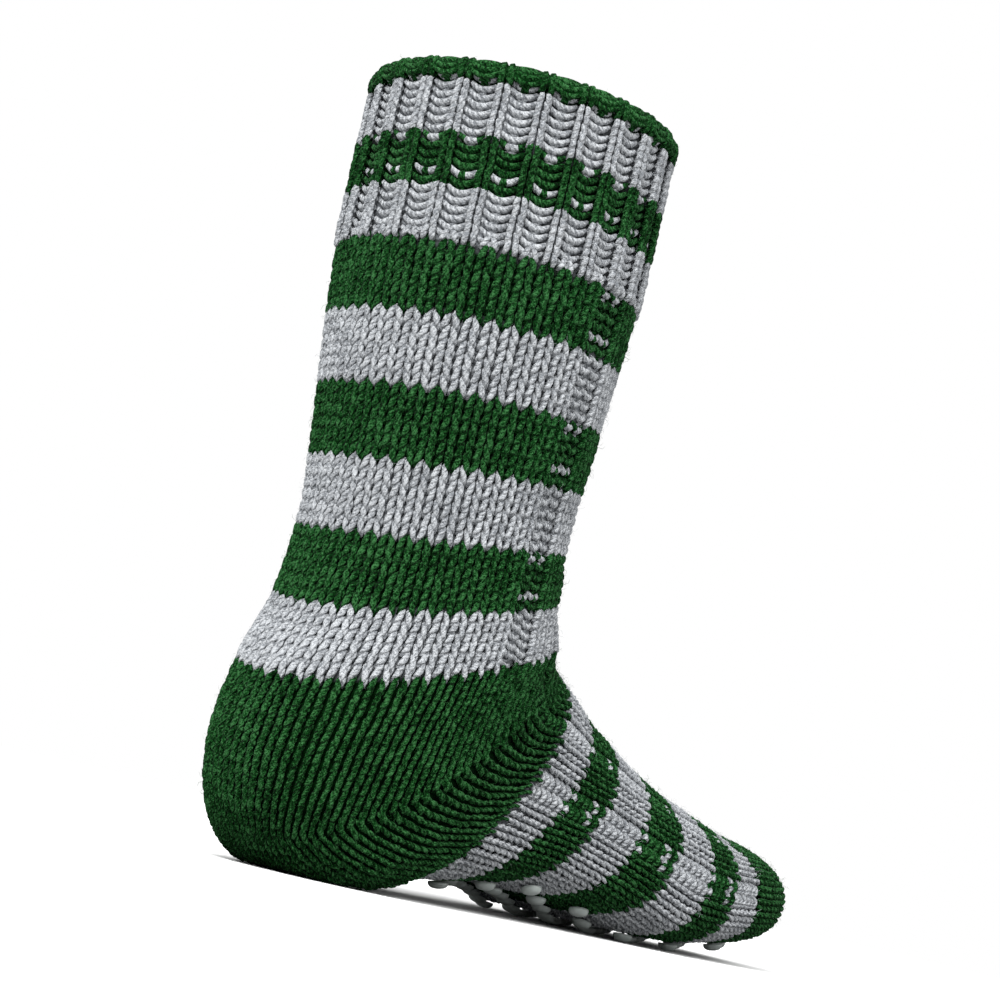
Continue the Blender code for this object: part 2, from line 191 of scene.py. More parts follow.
aroundPerWale, bodyRings, toeRings = 4, 330, 46  # how finely the form is drawn
toeClosed = 0.985  # how far round its nose the toe goes before its small flat end
rows = sockRows()
rowAt = rowStations(rows)
bodyAt = np.linspace(0, rowAt[-1], bodyRings)
bodyRows = np.stack([smoothCurve(rowAt, rows[:, c], bodyAt) for c in range(rows.shape[1])], 1)
allRows = np.vstack([bodyRows, toeRows(bodyRows[-1])])
ringAt = rowStations(allRows)
ringAt[:len(bodyAt)] = bodyAt
ringAt[len(bodyAt):] += rowAt[-1] - rowStations(allRows)[len(bodyAt) - 1]
rings = [ringPoints(row, form["wales"] * aroundPerWale) for row in allRows]
girths = np.array([girth for _, girth in rings])
skin = np.array([ring for ring, _ in rings])
skin[:, :, 1] -= form["footLength"] / 2
print("form: rings", skin.shape)

# Where each mark between stripes lies, by the row of the tables it falls on
rowNames = [row[0] for row in legRows] + heelTurns + [row[0] for row in footRows]
placeOf = dict(zip(rowNames, rowAt))
cuffEnd, capStart, tipAt = placeOf["rib end"], placeOf["toe cap"], ringAt[-1]
heelStart, heelMiddle, heelEnd = placeOf["heel top"], placeOf[0.5], placeOf["heel end"]
green, grey = 0.0, 1.0

creases = [  # name, place along the sock, reach along it, wale, reach across in wales, height
    ("ankle fold", placeOf["under the ankle"] + 0.002, 0.0045, 24, 6.5, -0.0013),
    ("roll above the ankle", placeOf["under the ankle"] - 0.008, 0.0050, 24, 7.0, 0.0009),
    ("instep roll", placeOf["heel end"] + 0.004, 0.0060, 24, 6.0, 0.0008),
    ("instep fold", placeOf["arch start"] + 0.006, 0.0050, 24, 5.0, -0.0007),
    ("slack on one side", placeOf["low calf"] + 0.006, 0.0070, 13, 5.0, -0.0007),
    ("slack on the other", placeOf["low calf"] + 0.010, 0.0070, 36, 5.0, -0.0006),
    ("hollow over the heel", placeOf["under the ankle"], 0.0080, 0, 6.0, -0.0006),
]


def creaseSkin():  # soft troughs and ridges where the worn sock folds
    wale = np.arange(skin.shape[1]) / aroundPerWale
    outward = unit(skin - skin.mean(axis=1, keepdims=True))
    for name, place, reach, middle, spread, height in creases:
        off = np.mod(wale - middle + form["wales"] / 2, form["wales"]) - form["wales"] / 2
        soft = np.exp(-((ringAt - place) / reach) ** 2)[:, None] * np.exp(-(off / spread) ** 2)[None, :]
        skin[:] += outward * (height * soft)[:, :, None]


creaseSkin()


def stripesOf(marks, colours, zone):
    return [(a, b, colour, zone) for a, b, colour in zip(marks, marks[1:], colours)]


def rowMarks(first, last):  # the places of the tables' rows, from one to another
    return rowAt[rowNames.index(first):rowNames.index(last) + 1]


stripes = stripesOf(np.linspace(form["hemHeight"], cuffEnd, 4), [grey, green, grey], "cuff")
stripes += stripesOf(np.linspace(cuffEnd, placeOf["low calf"], 4), [green, grey, green], "leg")
stripes += stripesOf(rowMarks("low calf", "heel top"), [grey, green, grey], "leg")
stripes += stripesOf((heelStart, heelEnd), [green], "heel")
stripes += stripesOf(rowMarks("heel end", "before ball"), [grey, green, grey, green], "foot")
stripes += stripesOf(rowMarks("before ball", "toe cap"), [grey, green, grey], "forefoot")
stripes += stripesOf((capStart, tipAt), [green], "toe")


def stripeAt(station):
    colour = np.zeros(np.shape(station))
    for start, end, tint, zone in stripes:
        colour = np.where((station >= start) & (station < end), tint, colour)
    return colour


knit = {
    "course": 0.0029, "coursesAStripe": 6, "jitter": 0.00008, "plainOverRibs": 1.3,
    "heelKink": 2.3, "heelSharpness": 2.0, "heelKinkReach": 17.0, "fewestHeelCourses": 3,
    "toeLossMost": 10, "toeLossAtOnce": 4,
    "panel": "PPKKKPKKKPKKKKKPKKKPKKKPP",  # wales over the instep: P purl, K knit
    "panelEdgeAtHeel": 2,
    "knitLevel": -0.00125, "purlLevel": -0.0020, "ribKnitLevel": -0.0002, "ribPurlLevel": -0.0020,
}


def surfaceAt(column, station):  # the smooth outside of the sock at a wale and a place along it
    station = np.clip(station, 0, ringAt[-1])
    i = np.clip(np.searchsorted(ringAt, station) - 1, 0, len(ringAt) - 2)
    f = ((station - ringAt[i]) / (ringAt[i + 1] - ringAt[i]))[..., None]
    across = np.mod(np.asarray(column, float) * aroundPerWale, skin.shape[1])
    j = np.floor(across).astype(int) % skin.shape[1]
    k = (j + 1) % skin.shape[1]
    g = (across - np.floor(across))[..., None]
    here = (1 - g) * skin[i, j] + g * skin[i, k]
    ahead = (1 - g) * skin[i + 1, j] + g * skin[i + 1, k]
    return (1 - f) * here + f * ahead


def heelTurn(station):  # 0 away from the heel, 1 on the line where its upper and lower half meet
    rise = np.clip((station - heelStart) / (heelMiddle - heelStart), 0, 1)
    fall = np.clip((heelEnd - station) / (heelEnd - heelMiddle), 0, 1)
    return np.minimum(rise, fall)


def waleAt(column, station):  # wales bend sharply at the sides of the turned heel
    half = form["wales"] / 2
    fromBack = np.mod(np.asarray(column, float) + half, form["wales"]) - half
    share = np.clip(np.abs(fromBack) / knit["heelKinkReach"], 0, 1)
    bend = knit["heelKink"] * heelTurn(station) ** knit["heelSharpness"]
    return fromBack - np.sign(fromBack) * bend * np.sin(np.pi * share)


def fabricPoint(column, station):
    return surfaceAt(waleAt(column, station), station)


def fabricFrame(column, station, reach=0.0014):  # outward, onward to the toe, and how wide a wale is
    column, station = np.asarray(column, float), np.asarray(station, float)
    onward = unit(fabricPoint(column, station + reach) - fabricPoint(column, station - reach))
    across = fabricPoint(column + 0.5, station) - fabricPoint(column - 0.5, station)
    across -= onward * (across * onward).sum(axis=-1, keepdims=True)  # square to the wale
    return unit(np.cross(onward, across)), onward, np.linalg.norm(across, axis=-1)


def isPurl(column, zone):
    if zone == "cuff":
        return column % 2 == 1
    place = column - (form["wales"] - len(knit["panel"]) + 1) // 2
    edge = knit["panelEdgeAtHeel"] if zone == "heel" else 0
    return zone != "toe" and edge <= place < len(knit["panel"]) - edge and knit["panel"][place] == "P"


def pathLength(column, start, end, steps=40):
    at = np.linspace(start, end, steps)
    return at, lengthAlong(fabricPoint(np.full(steps, column), at))


def heelCourses(column):  # rows counted from both edges of the heel, which meet on its mitre
    places = []
    for start, end in ((heelStart, heelMiddle), (heelEnd, heelMiddle)):
        at, far = pathLength(column, start, end)
        count = max(knit["fewestHeelCourses"], int(round(far[-1] / knit["course"])))
        marks = np.interp(np.linspace(0, far[-1], count + 1), far, at)
        places += [tuple(sorted(pair)) for pair in zip(marks, marks[1:])]
    return places


def toeCourses():  # plain rows to the tip; wales run out along a line at each side
    count = int(round((tipAt - capStart) / knit["course"]))
    marks = np.linspace(capStart, tipAt, count + 1)
    pitch = girths[len(bodyAt) - 1] / form["wales"]
    half = form["wales"] // 2
    atOnce = knit["toeLossAtOnce"]
    places = []
    for start, end in zip(marks, marks[1:]):
        girth = np.interp((start + end) / 2, ringAt, girths)
        lost = min(int(round((form["wales"] - girth / pitch) / atOnce)), knit["toeLossMost"])
        left = form["wales"] - atOnce * lost
        for centre, most in ((half, half // 2 - lost), (0, half // 2 - 1 - lost)):
            for wale in range(-most, most + 1):
                places.append((centre + wale * form["wales"] / left, start, end, girth / left))
    return places


def layOut():  # every stitch of the sock, by zone and kind: column, start, end, colour, next colour
    beds = {}
    lastRibRow = cuffEnd - knit["plainOverRibs"] * knit["course"]

    def put(zone, kind, column, start, end, colour, nextColour, width=0.0):
        beds.setdefault((zone, kind), []).append((column, start, end, colour, nextColour, width))

    for number, (start, end, colour, zone) in enumerate(stripes):
        before, after = stripes[max(number - 1, 0)][2], stripes[min(number + 1, len(stripes) - 1)][2]
        if zone == "toe":
            for column, low, high, pitch in toeCourses():
                put("toe", "plain", column, low, high, colour, colour, pitch)
            continue
        for column in range(form["wales"]):
            kind = "purl" if isPurl(column, zone) else "plain"
            if zone == "heel":
                places = heelCourses(column)
            else:
                marks = np.linspace(start, end, knit["coursesAStripe"] + 1)
                places = list(zip(marks, marks[1:]))
            for row, (low, high) in enumerate(places):
                middle = sides = colour
                if kind == "purl" and zone != "heel" and colour == green:  # grey peeps through at a change
                    sides = grey if row == len(places) - 2 and after == grey else green
                    middle = grey if row == 0 and before == grey else green
                put(zone, kind, column, low, high, middle, sides)
                # The leg's first plain stitch covers the end of each purl wale of the cuff
                if kind == "purl" and zone == "cuff" and low > lastRibRow:
                    put("leg", "plain", column, low, high, colour, colour)
            if zone == "cuff" and number == 0 and kind == "purl":
                low = form["hemHeight"] - (marks[1] - marks[0])
                put(zone, kind, column, low, form["hemHeight"], green, grey)
    return beds


beds = layOut()
print("stitches:", {"-".join(key): len(value) for key, value in beds.items()})


# Shader maths reads as plain arithmetic on sockets
class Wire:
    def __init__(self, bench, socket):
        self.bench, self.socket = bench, socket

    def maths(self, operation, *values):
        return self.bench.node("ShaderNodeMath", {"operation": operation}, values)

    def __add__(self, other):
        return self.maths("ADD", self, other)

    def __sub__(self, other):
        return self.maths("SUBTRACT", self, other)

    def __rsub__(self, other):
        return self.maths("SUBTRACT", other, self)

    def __mul__(self, other):
        return self.maths("MULTIPLY", self, other)

    __radd__, __rmul__ = __add__, __mul__

    def wave(self):
        return self.maths("SINE", self)

    def size(self):
        return self.maths("ABSOLUTE", self)

    def held(self):  # kept between 0 and 1
        return self.bench.node("ShaderNodeClamp", {}, [self, 0.0, 1.0])


class Bench:
    def __init__(self, name):
        self.material = bpy.data.materials.new(name)
        self.material.use_nodes = True
        self.tree = self.material.node_tree
        self.shader = self.tree.nodes["Principled BSDF"]

    def plug(self, socket, value):
        if isinstance(value, Wire):
            self.tree.links.new(value.socket, socket)
        else:
            socket.default_value = (*value, 1.0) if socket.type == "RGBA" and len(value) == 3 else value

    def node(self, kind, settings=None, inputs=None, output=0):
        made = self.tree.nodes.new(kind)
        for key, value in (settings or {}).items():
            if key == "stops":
                ramp = made.color_ramp
                for place, colour in value[2:]:
                    ramp.elements.new(place)
                for stop, (place, colour) in zip(ramp.elements, sorted(value)):
                    stop.position, stop.color = place, (*colour, 1.0)
            else:
                setattr(made, key, value)
        pairs = inputs.items() if isinstance(inputs, dict) else enumerate(inputs or [])
        for key, value in pairs:
            self.plug(made.inputs[key], value)
        return Wire(self, made.outputs[output])

    def blend(self, factor, one, two):
        inputs = {0: factor, 6: one, 7: two}
        return self.node("ShaderNodeMix", {"data_type": "RGBA"}, inputs, 2)

    def number(self, name):
        return self.node("ShaderNodeAttribute", {"attribute_name": name}, None, 2)

    def mapped(self, name):  # the two values of a UV map
        place = self.node("ShaderNodeUVMap", {"uv_map": name})
        return [self.node("ShaderNodeSeparateXYZ", {}, [place], side) for side in (0, 1)]

    def where(self):
        return self.node("ShaderNodeTexCoord", {}, None, 3)

    def noise(self, place, scale, detail, roughness=0.5):
        inputs = {"Vector": place, "Scale": scale, "Detail": detail, "Roughness": roughness}
        return self.node("ShaderNodeTexNoise", {}, inputs)

    def ramp(self, stops, light):
        return self.node("ShaderNodeValToRGB", {"stops": stops}, [light])

    def bump(self, strength, depth, height):
        inputs = {"Strength": strength, "Distance": depth, "Height": height}
        return self.node("ShaderNodeBump", {}, inputs)

    def finish(self, values):
        for name, value in values.items():
            self.plug(self.shader.inputs[name], value)
        return self.material


yarn = {
    "green": [(0.0, (0.0001, 0.006, 0.0006)), (0.5, (0.0038, 0.041, 0.0066)), (1.0, (0.036, 0.132, 0.042))],
    "grey": [(0.0, (0.150, 0.160, 0.173)), (0.5, (0.343, 0.358, 0.375)), (1.0, (0.50, 0.518, 0.536))],
    "plies": 2.0, "twistPerMm": 0.30, "streakAround": 7.0, "streakTwist": 2.0, "streakAlong": 0.8,
    # Each noise: scale, detail, and roughness where it has its own
    "fuzz": (950.0, 3.0, 0.75), "speck": (2470.0, 2.0), "patch": (120.0, 2.0), "streak": (1.0, 2.0),
    # How much each one lightens the yarn and how much it raises it; the plies' lightening is painted shade in
    # the creases between them
    "streakLight": 1.9, "fuzzLight": 2.8, "speckLight": 2.0, "plyCreaseShade": 0.25, "toneLight": 0.30,
    "baseLight": 0.36, "plyRise": 0.5, "streakRise": 0.35, "fuzzRise": 0.6, "speckRise": 0.3,
    "bumpStrength": 0.9, "bumpDepth": 0.0010, "middleWidth": (0.9, 0.7),
    "roughness": 1.0, "sheen": 0.012, "sheenRoughness": 0.5, "gloss": 0.04,
}


def yarnFinish(name):  # twisted plies with painted shade in the creases between them, stray fibres, and a colour that varies from stitch to stitch
    b = Bench(name)
    around, along = b.mapped("yarnMap")
    where = b.where()
    fuzz = b.noise(where, *yarn["fuzz"])
    speck = b.noise(where, *yarn["speck"])
    patch = b.noise(where, *yarn["patch"])
    twist = around * yarn["plies"] + along * (yarn["twistPerMm"] * yarn["plies"])
    ply = (twist * math.pi).wave().size()
    slanted = around * yarn["streakAround"] + along * yarn["streakTwist"]
    drawnOut = b.node("ShaderNodeCombineXYZ", {}, [slanted, along * yarn["streakAlong"], patch])
    streak = b.noise(drawnOut, *yarn["streak"])
    # The middle of a purl stitch keeps its own colour, and its sides take the next row's
    first, more = yarn["middleWidth"]
    own = b.number("stripe")
    part = b.number("part").maths("GREATER_THAN", b.number("part"), own * more + first)
    colour = own * (1 - part) + b.number("nextStripe") * part
    # Painted shade: the yarn is lighter on each ply's crown and darker in the crease between plies; the
    # noises and the tone vary at random
    light = ((streak - 0.5) * yarn["streakLight"] + (fuzz - 0.5) * yarn["fuzzLight"]
             + (speck - 0.5) * yarn["speckLight"] + ply * yarn["plyCreaseShade"]
             + (b.number("tone") - 0.5) * yarn["toneLight"] + yarn["baseLight"]).held()
    height = (ply * yarn["plyRise"] + streak * yarn["streakRise"]
              + fuzz * yarn["fuzzRise"] + speck * yarn["speckRise"])
    return b.finish({
        "Base Color": b.blend(colour, b.ramp(yarn["green"], light), b.ramp(yarn["grey"], light)),
        "Roughness": yarn["roughness"], "Specular IOR Level": yarn["gloss"],
        "Sheen Weight": yarn["sheen"], "Sheen Roughness": yarn["sheenRoughness"],
        "Normal": b.bump(yarn["bumpStrength"], yarn["bumpDepth"], height),
    })


yarnMaterial = yarnFinish("woolYarn")


def mirrored(strand):
    return [(-x, y, z, r) for x, y, z, r in strand]


def arch(half):  # a strand from its left half and middle
    return half + mirrored(half[:-1])[::-1]


def pair(strand, rings):  # the two legs of a stitch, which keep its own colour
    return [(strand, rings, 0.0), (mirrored(strand), rings, 0.0)]


# Strands of one stitch in millimetres: x across the wale, y on towards the toe, z out; then the radius
plainStrand = [(-0.55, -2.28, -1.10, 0.62), (-0.88, -1.05, 0.06, 0.86), (-1.28, 0.25, 0.28, 0.94),
               (-1.64, 1.45, -0.10, 0.87), (-1.90, 2.38, -1.12, 0.62)]
stretchedStrand = [(-0.92, -2.25, -0.90, 0.58), (-1.10, -1.05, 0.04, 0.76), (-1.30, 0.25, 0.24, 0.82),
                   (-1.48, 1.45, -0.02, 0.77), (-1.62, 2.38, -0.90, 0.58)]
openStrand = [(-0.60, -2.28, -1.05, 0.56), (-0.90, -1.05, 0.04, 0.74), (-1.28, 0.25, 0.26, 0.80),
              (-1.66, 1.45, -0.08, 0.75), (-1.90, 2.38, -1.05, 0.56)]
ribStrand = [(-0.78, -1.80, -0.85, 0.72), (-0.98, -0.75, 0.10, 0.90), (-1.18, 0.45, 0.20, 0.92),
             (-1.36, 1.70, -0.80, 0.72)]
purlArc = arch([(-4.30, -1.45, -0.55, 0.66), (-3.20, -0.85, 0.10, 0.86), (-1.70, 0.08, 0.20, 1.00),
                (0.00, 0.45, 0.28, 1.06)])
purlCap = arch([(-1.60, 1.80, -0.60, 0.50), (0.00, 1.50, -0.05, 0.66)])
panelArc = arch([(-2.75, -1.20, -0.80, 0.68), (-1.80, -0.40, -0.05, 0.84), (-0.90, 0.25, 0.25, 0.92),
                 (0.00, 0.40, 0.32, 0.94)])
panelCap = arch([(-1.10, 2.05, -0.80, 0.42), (0.00, 1.70, -0.10, 0.66)])

# Each stitch: its strands, with how many rings they get and how soon off the middle of the wale they
# take the colour of the row beside it (0 is never), and the wale and course it is drawn for, in mm
stitchKinds = {
    "plain": {"strands": pair(plainStrand, 6), "wale": 5.2, "course": 2.9},
    "stretched": {"strands": pair(stretchedStrand, 6), "wale": 5.2, "course": 2.9},
    "open": {"strands": pair(openStrand, 6), "wale": 5.2, "course": 2.9},
    "rib": {"strands": pair(ribStrand, 5), "wale": 5.7, "course": 2.4},
    "purl": {"strands": [(purlArc, 8, 1.0), (purlCap, 3, 0.0)], "wale": 5.7, "course": 2.4},
    "panel": {"strands": [(panelArc, 8, 1.5), (panelCap, 3, 0.0)], "wale": 5.2, "course": 2.9},
}


def meshOf(shape, mesh):  # with its faces turned outward
    bmesh.ops.recalc_face_normals(shape, faces=shape.faces)
    shape.to_mesh(mesh)
    shape.free()


def softPath(points, count):  # a rounded path through a strand's points
    points = np.array(points, float)
    at, wanted = np.linspace(0, 1, len(points)), np.linspace(0, 1, count)
    return np.stack([smoothCurve(at, points[:, k], wanted) for k in range(points.shape[1])], 1)


def makeStitch(name, kind, sides=5):
    shape = bmesh.new()
    yarnMap = shape.loops.layers.uv.new("yarnMap")
    part = shape.verts.layers.float.new("part")
    for strand, count, change in kind["strands"]:
        path = softPath(strand, count)
        along = lengthAlong(path[:, :3])
        loops = []
        for i, (x, y, z, radius) in enumerate(path):
            tangent = Vector(path[min(i + 1, count - 1), :3] - path[max(i - 1, 0), :3]).normalized()
            side = tangent.cross(Vector((0, 0, 1))).normalized()
            rise = side.cross(tangent)
            loop = []
            for k in range(sides):
                angle = 2 * math.pi * (k + 0.5) / sides
                out = side * math.cos(angle) + rise * math.sin(angle)
                vertex = shape.verts.new((Vector((x, y, z)) + out * radius) / 1000)
                vertex[part] = abs(x) * change
                loop.append(vertex)
            loops.append(loop)
        for i in range(count - 1):
            for k in range(sides):
                n = (k + 1) % sides
                face = shape.faces.new((loops[i][k], loops[i][n], loops[i + 1][n], loops[i + 1][k]))
                for loop, u, v in zip(face.loops, (k, k + 1, k + 1, k), (i, i, i + 1, i + 1)):
                    loop[yarnMap].uv = (u / sides, along[v])
        shape.faces.new(list(reversed(loops[0])))
        shape.faces.new(loops[-1])
    for face in shape.faces:
        face.smooth = True
    mesh = bpy.data.meshes.new(name)
    meshOf(shape, mesh)
    return addObject(name, mesh)


def stitchTree():  # sets one stitch on every seed, turned to lie along the fabric
    tree = bpy.data.node_groups.new("laidStitches", "GeometryNodeTree")
    ports = {}
    for name, kind, way in (
            ("Geometry", "Geometry", "INPUT"), ("Geometry", "Geometry", "OUTPUT"),
            ("Stitch", "Object", "INPUT"), ("Yarn", "Material", "INPUT"), ("Lean", "Float", "INPUT"),
            ("Unevenness", "Float", "INPUT"), ("Seed", "Int", "INPUT")):
        made = tree.interface.new_socket(name, in_out=way, socket_type="NodeSocket" + kind)
        ports[name] = made.identifier
    given, end = tree.nodes.new("NodeGroupInput").outputs, tree.nodes.new("NodeGroupOutput")

    def step(kind, inputs, output=0, **settings):
        made = tree.nodes.new(kind)
        for key, value in settings.items():
            setattr(made, key, value)
        for key, value in inputs.items():
            if isinstance(value, (float, str)):
                made.inputs[key].default_value = value
            else:
                tree.links.new(value, made.inputs[key])
        return made.outputs[output]

    def read(name):
        return step("GeometryNodeInputNamedAttribute", {"Name": name}, "Attribute", data_type="FLOAT_VECTOR")

    def maths(operation, one, two):
        return step("ShaderNodeMath", {0: one, 1: two}, operation=operation)

    def chance(kind, sockets, output, low, high, offset):
        seed = maths("ADD", given["Seed"], offset)
        inputs = {sockets[0]: low, sockets[1]: high, "Seed": seed}
        return step("FunctionNodeRandomValue", inputs, output, data_type=kind)

    axes = step("FunctionNodeAxesToRotation", {0: read("outward"), 1: read("onward")},
                primary_axis="Z", secondary_axis="Y")
    lean = chance("FLOAT_VECTOR", (0, 1), 0, maths("MULTIPLY", given["Lean"], -1.0), given["Lean"], 1.0)
    turn = step("FunctionNodeEulerToRotation", {0: lean})
    lying = step("FunctionNodeRotateRotation", {0: axes, 1: turn}, rotation_space="LOCAL")
    uneven = chance("FLOAT", (2, 3), 1, maths("SUBTRACT", 1.0, given["Unevenness"]),
                    maths("ADD", 1.0, given["Unevenness"]), 2.0)
    size = step("ShaderNodeVectorMath", {0: read("size"), "Scale": uneven}, operation="SCALE")
    pattern = step("GeometryNodeObjectInfo", {"Object": given["Stitch"]}, "Geometry")
    laid = step("GeometryNodeInstanceOnPoints", {
        "Points": given["Geometry"], "Instance": pattern, "Rotation": lying, "Scale": size})
    real = step("GeometryNodeRealizeInstances", {0: laid})
    dressed = step("GeometryNodeSetMaterial", {"Geometry": real, "Material": given["Yarn"]})
    tree.links.new(dressed, end.inputs[0])
    return tree, ports


stitchNodes, stitchPorts = stitchTree()


def addLayer(mesh, name, values):  # an attribute of the points: numbers or vectors
    values = np.asarray(values, np.float32)
    kind, field = ("FLOAT", "value") if values.ndim == 1 else ("FLOAT_VECTOR", "vector")
    mesh.attributes.new(name, kind, "POINT").data.foreach_set(field, values.ravel())


def plant(name, seeds, stitch, material, seed, lean=0.05, unevenness=0.04):
    mesh = bpy.data.meshes.new(name + "Seeds")
    mesh.vertices.add(len(seeds["point"]))
    mesh.vertices.foreach_set("co", np.asarray(seeds["point"], np.float32).ravel())
    for key in ("outward", "onward", "size", "stripe", "nextStripe", "tone"):
        addLayer(mesh, key, seeds[key])
    carrier = addObject(name + "Seeds", mesh)
    modifier = carrier.modifiers.new("laidStitches", "NODES")
    modifier.node_group = stitchNodes
    inputs = {"Stitch": stitch, "Yarn": material, "Lean": lean, "Unevenness": unevenness, "Seed": seed}
    for key, value in inputs.items():
        modifier[stitchPorts[key]] = value
    graph = bpy.context.evaluated_depsgraph_get()
    laid = carrier.evaluated_get(graph)
    finished = bpy.data.meshes.new_from_object(laid, preserve_all_data_layers=True, depsgraph=graph)
    bpy.data.objects.remove(carrier, do_unlink=True)
    spots = np.empty(len(finished.vertices) * 3, np.float32)
    finished.vertices.foreach_get("co", spots)
    spots[2::3] = np.maximum(spots[2::3], 0)  # the floor presses the knitting flat
    finished.vertices.foreach_set("co", spots)
    return finished


def joinMeshes(name, meshes):
    pieces = [addObject(name, mesh) for mesh in meshes]
    for other in bpy.context.selected_objects:
        other.select_set(False)
    for piece in pieces:
        piece.select_set(True)
    bpy.context.view_layer.objects.active = pieces[0]
    if len(pieces) > 1:
        bpy.ops.object.join()
    whole = pieces[0]
    whole.name = whole.data.name = name
    whole.select_set(False)
    return whole


fixedSeed = 48
chanceOf = np.random.default_rng(fixedSeed)
levels = {("cuff", "plain"): "ribKnitLevel", ("cuff", "purl"): "ribPurlLevel"}
patterns = {("cuff", "plain"): "rib", ("cuff", "purl"): "purl", ("heel", "plain"): "stretched",
            ("foot", "plain"): "open", ("forefoot", "plain"): "open"}
templates = {kind: makeStitch("pattern-" + kind, made) for kind, made in stitchKinds.items()}


def stitchSize(width, length, drawn, rise=1.0):  # how far a stitch drawn in millimetres is stretched
    wide, long = width * 1000 / drawn["wale"], length * 1000 / drawn["course"]
    return np.stack([wide, long, np.full(len(width), rise)], 1)


def seedsFor(zone, kind, bed):
    table = np.array(bed)
    column, start, end = table[:, 0], table[:, 1], table[:, 2]
    centre = (start + end) / 2
    outward, onward, width = fabricFrame(column, centre)
    if zone == "toe":
        straight = surfaceAt(column, centre)
        width = table[:, 5]
    else:
        straight = fabricPoint(column, centre)
    length = np.linalg.norm(fabricPoint(column, end) - fabricPoint(column, start), axis=1)
    pattern = patterns.get((zone, kind), "panel" if kind == "purl" else "plain")
    level = knit[levels.get((zone, kind), "purlLevel" if kind == "purl" else "knitLevel")]
    size = stitchSize(width, length, stitchKinds[pattern])
    point = straight + outward * level
    point += chanceOf.normal(0, knit["jitter"], point.shape)
    return pattern, {
        "point": point, "outward": outward, "onward": onward, "size": size,
        "stripe": table[:, 3], "nextStripe": table[:, 4], "tone": chanceOf.random(len(table)),
    }


body = "root"
sockNode = "knitted_sock"
knitted = []
for seed, zone in enumerate(("cuff", "leg", "heel", "foot", "forefoot", "toe"), start=1):
    meshes = []
    for kind in ("plain", "purl"):
        bed = beds.get((zone, kind))
        if bed:
            pattern, seeds = seedsFor(zone, kind, bed)
            meshes.append(plant(zone, seeds, templates[pattern], yarnMaterial, seed * 10 + len(meshes)))
    piece = joinMeshes(zone + "Knitting", meshes)
    knitted.append(piece)
    print(zone, "knitting:", len(piece.data.polygons), "faces")

hem = {  # metres, and radians round the roll
    "rows": 7, "outward": 0.0022, "up": 0.0034, "centreIn": 0.0012, "from": -0.75, "to": 3.55,
    "start": 0.0038, "frameAt": 0.0045, "levels": (-0.0007, -0.0012), "rise": 0.9, "seed": 77,
    # The roll under the hem's stitches keeps only part of its lightness: painted shade, lighter than on the
    # ground under the stitches
    "coreIn": -0.0006, "coreRings": 11, "coreOver": 0.5, "coreLitShare": 0.55,
}


def hemPoint(column, angle, grow=0.0):  # the rolled edge: round the outside, over the top and down inside
    base = surfaceAt(column, np.full(np.shape(column), hem["start"]))
    outward = fabricFrame(column, np.full(np.shape(column), hem["frameAt"]))[0]
    outward[..., 2] = 0
    outward = unit(outward)
    out = (hem["outward"] + grow) * np.cos(angle) - hem["centreIn"]
    up = (hem["up"] + grow) * np.sin(angle)
    return base + outward * out[..., None] + np.array([0, 0, 1.0]) * up[..., None]


def hemSeeds(ridge):  # ridge 0: the knit ribs run on over the edge; 1: the purl between them
    angles = np.linspace(hem["from"], hem["to"], hem["rows"] * 2 + 1)[1::2]
    step = (hem["to"] - hem["from"]) / hem["rows"]
    column, angle = [grid.ravel() for grid in np.meshgrid(np.arange(ridge, form["wales"], 2), angles)]
    point = hemPoint(column, angle)
    onward = hemPoint(column, angle - step / 2) - hemPoint(column, angle + step / 2)
    across = hemPoint(column + 0.5, angle) - hemPoint(column - 0.5, angle)
    outward = unit(np.cross(onward, across))
    length, width = np.linalg.norm(onward, axis=1), np.linalg.norm(across, axis=1)
    onward /= length[:, None]
    size = stitchSize(width, length, stitchKinds[("rib", "purl")[ridge]], hem["rise"])
    return {"point": point + outward * hem["levels"][ridge], "outward": outward, "onward": onward,
            "size": size, "stripe": np.zeros(len(column)), "nextStripe": np.zeros(len(column)),
            "tone": chanceOf.random(len(column))}


hemMeshes = [plant("hem", hemSeeds(ridge), templates[kind], yarnMaterial, hem["seed"] + ridge)
             for ridge, kind in enumerate(("rib", "purl"))]
hemPiece = joinMeshes("rolledHem", hemMeshes)
knitted.append(hemPiece)
print("rolled hem:", len(hemPiece.data.polygons), "faces")

lining = {  # depths in metres out from the smooth form, then its finish
    "around": 96, "start": 0.0045, "tipGap": 0.004, "ringStep": 0.0024,
    "depth": {"outer": -0.0023, "inner": -0.0036}, "underRib": 0.0006,
    "betweenRibs": {"outer": -0.0008, "inner": -0.0004}, "toeReach": 0.02, "toeLift": 0.0012,
    "footFloor": 0.0016, "heelFloor": 0.0006, "wall": {"outer": 0.0, "inner": 0.0008},
    # The row lightening is painted shade in the gaps between the rows of purl bumps
    "fuzz": (700.0, 3.0), "archHeight": 0.9, "courseMm": 2.9, "rowGapShade": 0.30, "fuzzLight": 2.4,
    # The outside level is painted shade on the ground under the stitches; the inside level lifts the lining
    # inside the sock back to full lightness
    "baseLight": 0.50, "shadedGroundLevel": 0.15, "insideLight": 0.85, "greenLight": 0.8, "greyLight": 0.9,
    "rowRise": 0.5, "fuzzRise": 1.2, "bumpStrength": 0.9, "bumpDepth": 0.0009,
    "roughness": 0.97, "sheen": 0.01, "gloss": 0.03,
}


